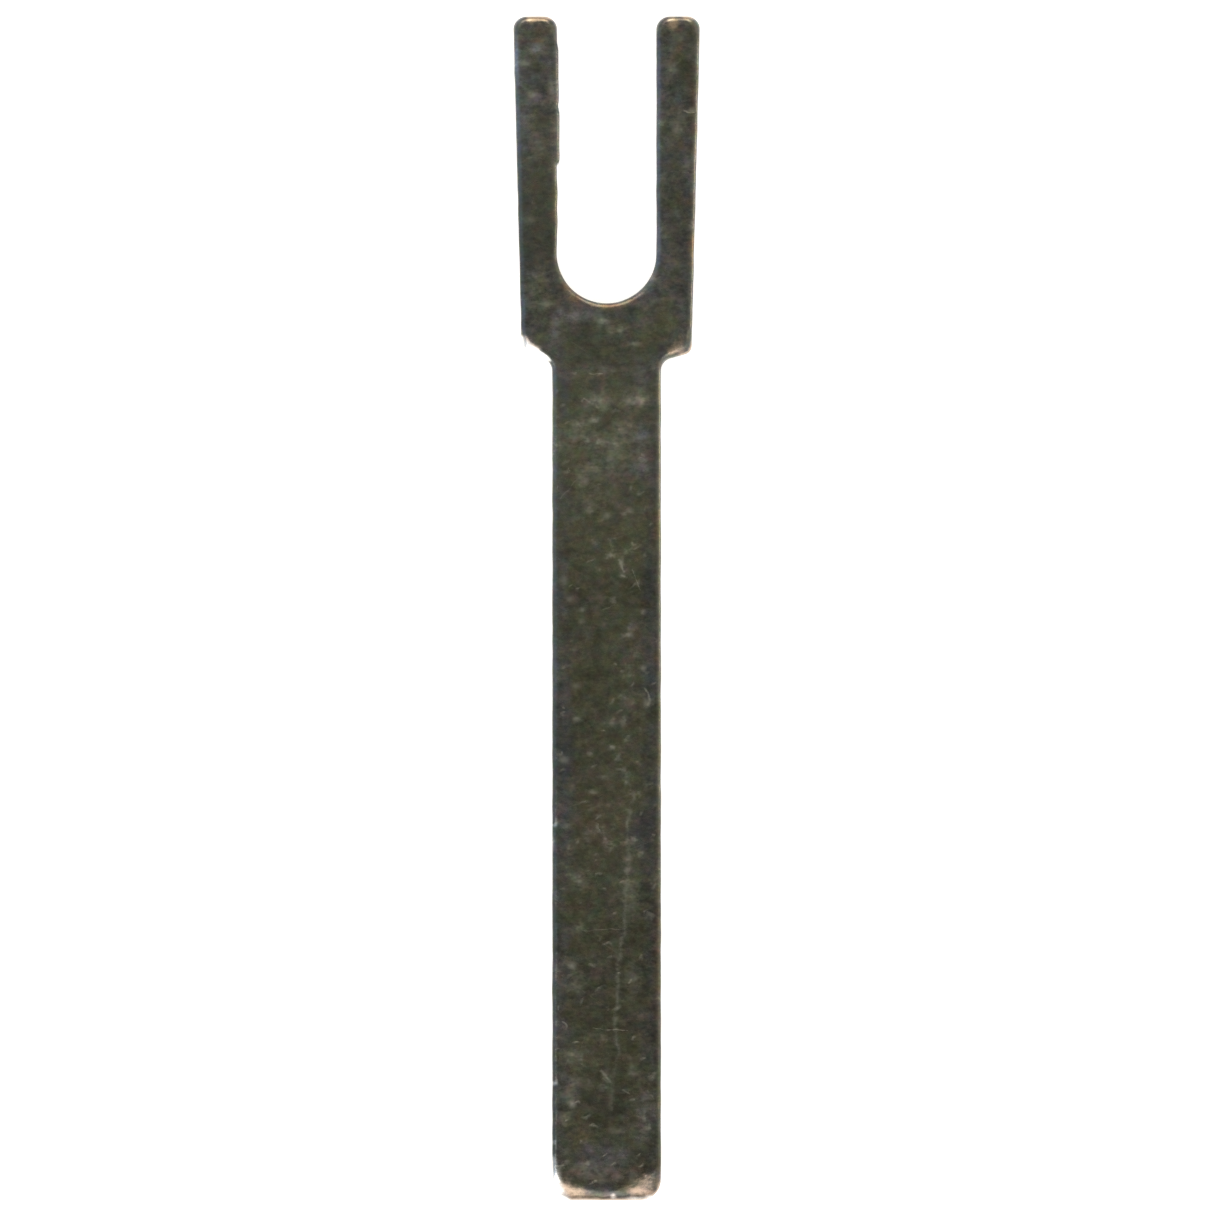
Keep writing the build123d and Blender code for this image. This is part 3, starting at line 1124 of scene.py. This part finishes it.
def room_light(looks):
    """The room as a sky: a dim ceiling, four tinted walls and a pale horizon."""
    world = bpy.data.worlds.new("studio_room")
    bpy.context.scene.world = world
    world.use_nodes = True
    nodes = Nodes(world.node_tree)
    direction = nodes.add("ShaderNodeTexCoord", output=0)
    across = nodes.add("ShaderNodeSeparateXYZ", {}, {0: direction}, output=0)
    along = nodes.add("ShaderNodeSeparateXYZ", {}, {0: direction}, output=1)
    up = nodes.add("ShaderNodeSeparateXYZ", {}, {0: direction}, output=2)
    sideways = across * across / (across * across + along * along + 0.0001)
    left_right = nodes.mixed(
        nodes.between(across, -0.05, 0.05), solid(looks.left_wall), solid(looks.right_wall)
    )
    near_far = nodes.mixed(
        nodes.between(along, -0.05, 0.05), solid(looks.near_wall), solid(looks.far_wall)
    )
    walls = nodes.mixed(sideways, near_far, left_right)
    steep = up + nodes.math("MINIMUM", 0.35 * across, -0.1 * across)
    overhead = 0.35 * nodes.between(steep, 0.93, 0.985) + 0.65 * nodes.between(steep, 0.70, 0.86)
    room = nodes.mixed(overhead, walls, solid(looks.ceiling))
    room = nodes.mixed(nodes.between(up, 0.5, 0.05), room, solid(looks.horizon))
    background = nodes.add("ShaderNodeBackground", {}, {"Color": room, "Strength": 1.0})
    nodes.add("ShaderNodeOutputWorld", {}, {0: background})


def hang(softbox):
    """Hangs a softbox so that it faces the fork and doesn't show itself."""
    light = bpy.data.lights.new(softbox.name, "AREA")
    light.shape = "RECTANGLE"
    light.size = softbox.width
    light.size_y = softbox.depth
    light.energy = softbox.radiance * math.pi * softbox.width * softbox.depth
    light.color = softbox.tint
    lamp = bpy.data.objects.new(softbox.name, light)
    lamp.location = softbox.place
    lamp.rotation_euler = Vector(softbox.place).to_track_quat("Z", "Y").to_euler()
    lamp.visible_camera = False
    bpy.context.scene.collection.objects.link(lamp)


def top_camera():
    """A long lens straight above the fork, with the tips at the top of the picture."""
    data = bpy.data.cameras.new("top_camera")
    data.lens = LENS
    data.sensor_width = SENSOR
    data.clip_start = 0.01
    data.clip_end = 50.0
    camera = bpy.data.objects.new("top_camera", data)
    camera.location = (*VIEW_MIDDLE, HIGHEST.z + VIEW_HEIGHT * LENS / SENSOR)
    bpy.context.scene.collection.objects.link(camera)
    bpy.context.scene.camera = camera


# ---------------------------------------------------------------- operators and panel


class DIVOTFORK_OT_fork_body(bpy.types.Operator):
    """Builds the stamped, tumbled and plated fork in place of its CAD node"""

    bl_idname = "divotfork.fork_body"
    bl_label = "Build the fork"

    def execute(self, context):
        scene = context.scene
        blank = Blank(scene.fork_blank, scene.fork_edges)
        mesh = fork_mesh(blank)
        points = np.array([v.co.xy for v in mesh.vertices])
        store(mesh, "inset", blank.inset(points) / MM)
        store(mesh, "corner", blank.corner_wear(points)[0])
        for name in PATCHES:
            store(mesh, name, patch(points, name))
        fork = bpy.data.objects.new("plated_fork", mesh)
        scene.collection.objects.link(fork)
        mesh.materials.append(plating(scene.fork_plating))
        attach(fork, "root")
        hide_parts(FORK)
        return {"FINISHED"}


class DIVOTFORK_OT_studio(bpy.types.Operator):
    """Lays the pale floor and sets the room's light, the softboxes and the camera"""

    bl_idname = "divotfork.studio"
    bl_label = "Set up the studio"

    def execute(self, context):
        looks = context.scene.fork_studio
        floor_piece(looks)
        room_light(looks)
        for softbox in SOFTBOXES:
            hang(softbox)
        top_camera()
        context.scene.view_settings.view_transform = "Standard"
        return {"FINISHED"}


class DIVOTFORK_PT_sidebar(bpy.types.Panel):
    """The fork's steps and what may be changed in each"""

    bl_idname = "DIVOTFORK_PT_sidebar"
    bl_label = "Divot fork"
    bl_space_type = "VIEW_3D"
    bl_region_type = "UI"
    bl_category = "Divot fork"

    def draw(self, context):
        steps = (
            ("divotfork.fork_body", ("fork_blank", "fork_edges", "fork_plating")),
            ("divotfork.studio", ("fork_studio",)),
        )
        for operator, groups in steps:
            box = self.layout.box()
            for group in groups:
                settings = getattr(context.scene, group)
                for name in settings.__annotations__:
                    box.prop(settings, name)
            box.operator(operator)


CLASSES = (
    BlankSizes,
    EdgeSizes,
    PlatingLooks,
    StudioLooks,
    DIVOTFORK_OT_fork_body,
    DIVOTFORK_OT_studio,
    DIVOTFORK_PT_sidebar,
)
GROUPS = {
    "fork_blank": BlankSizes,
    "fork_edges": EdgeSizes,
    "fork_plating": PlatingLooks,
    "fork_studio": StudioLooks,
}


def register():
    """Makes the operators, the panel and the scene's settings known to Blender."""
    for each in CLASSES:
        bpy.utils.register_class(each)
    for name, group in GROUPS.items():
        setattr(bpy.types.Scene, name, bpy.props.PointerProperty(type=group))


def unregister():
    """Takes back what register() added."""
    for name in GROUPS:
        delattr(bpy.types.Scene, name)
    for each in reversed(CLASSES):
        bpy.utils.unregister_class(each)


def main():
    """Runs every step in order."""
    register()
    bpy.ops.divotfork.studio()
    bpy.ops.divotfork.fork_body()


if __name__ == "__main__":
    main()
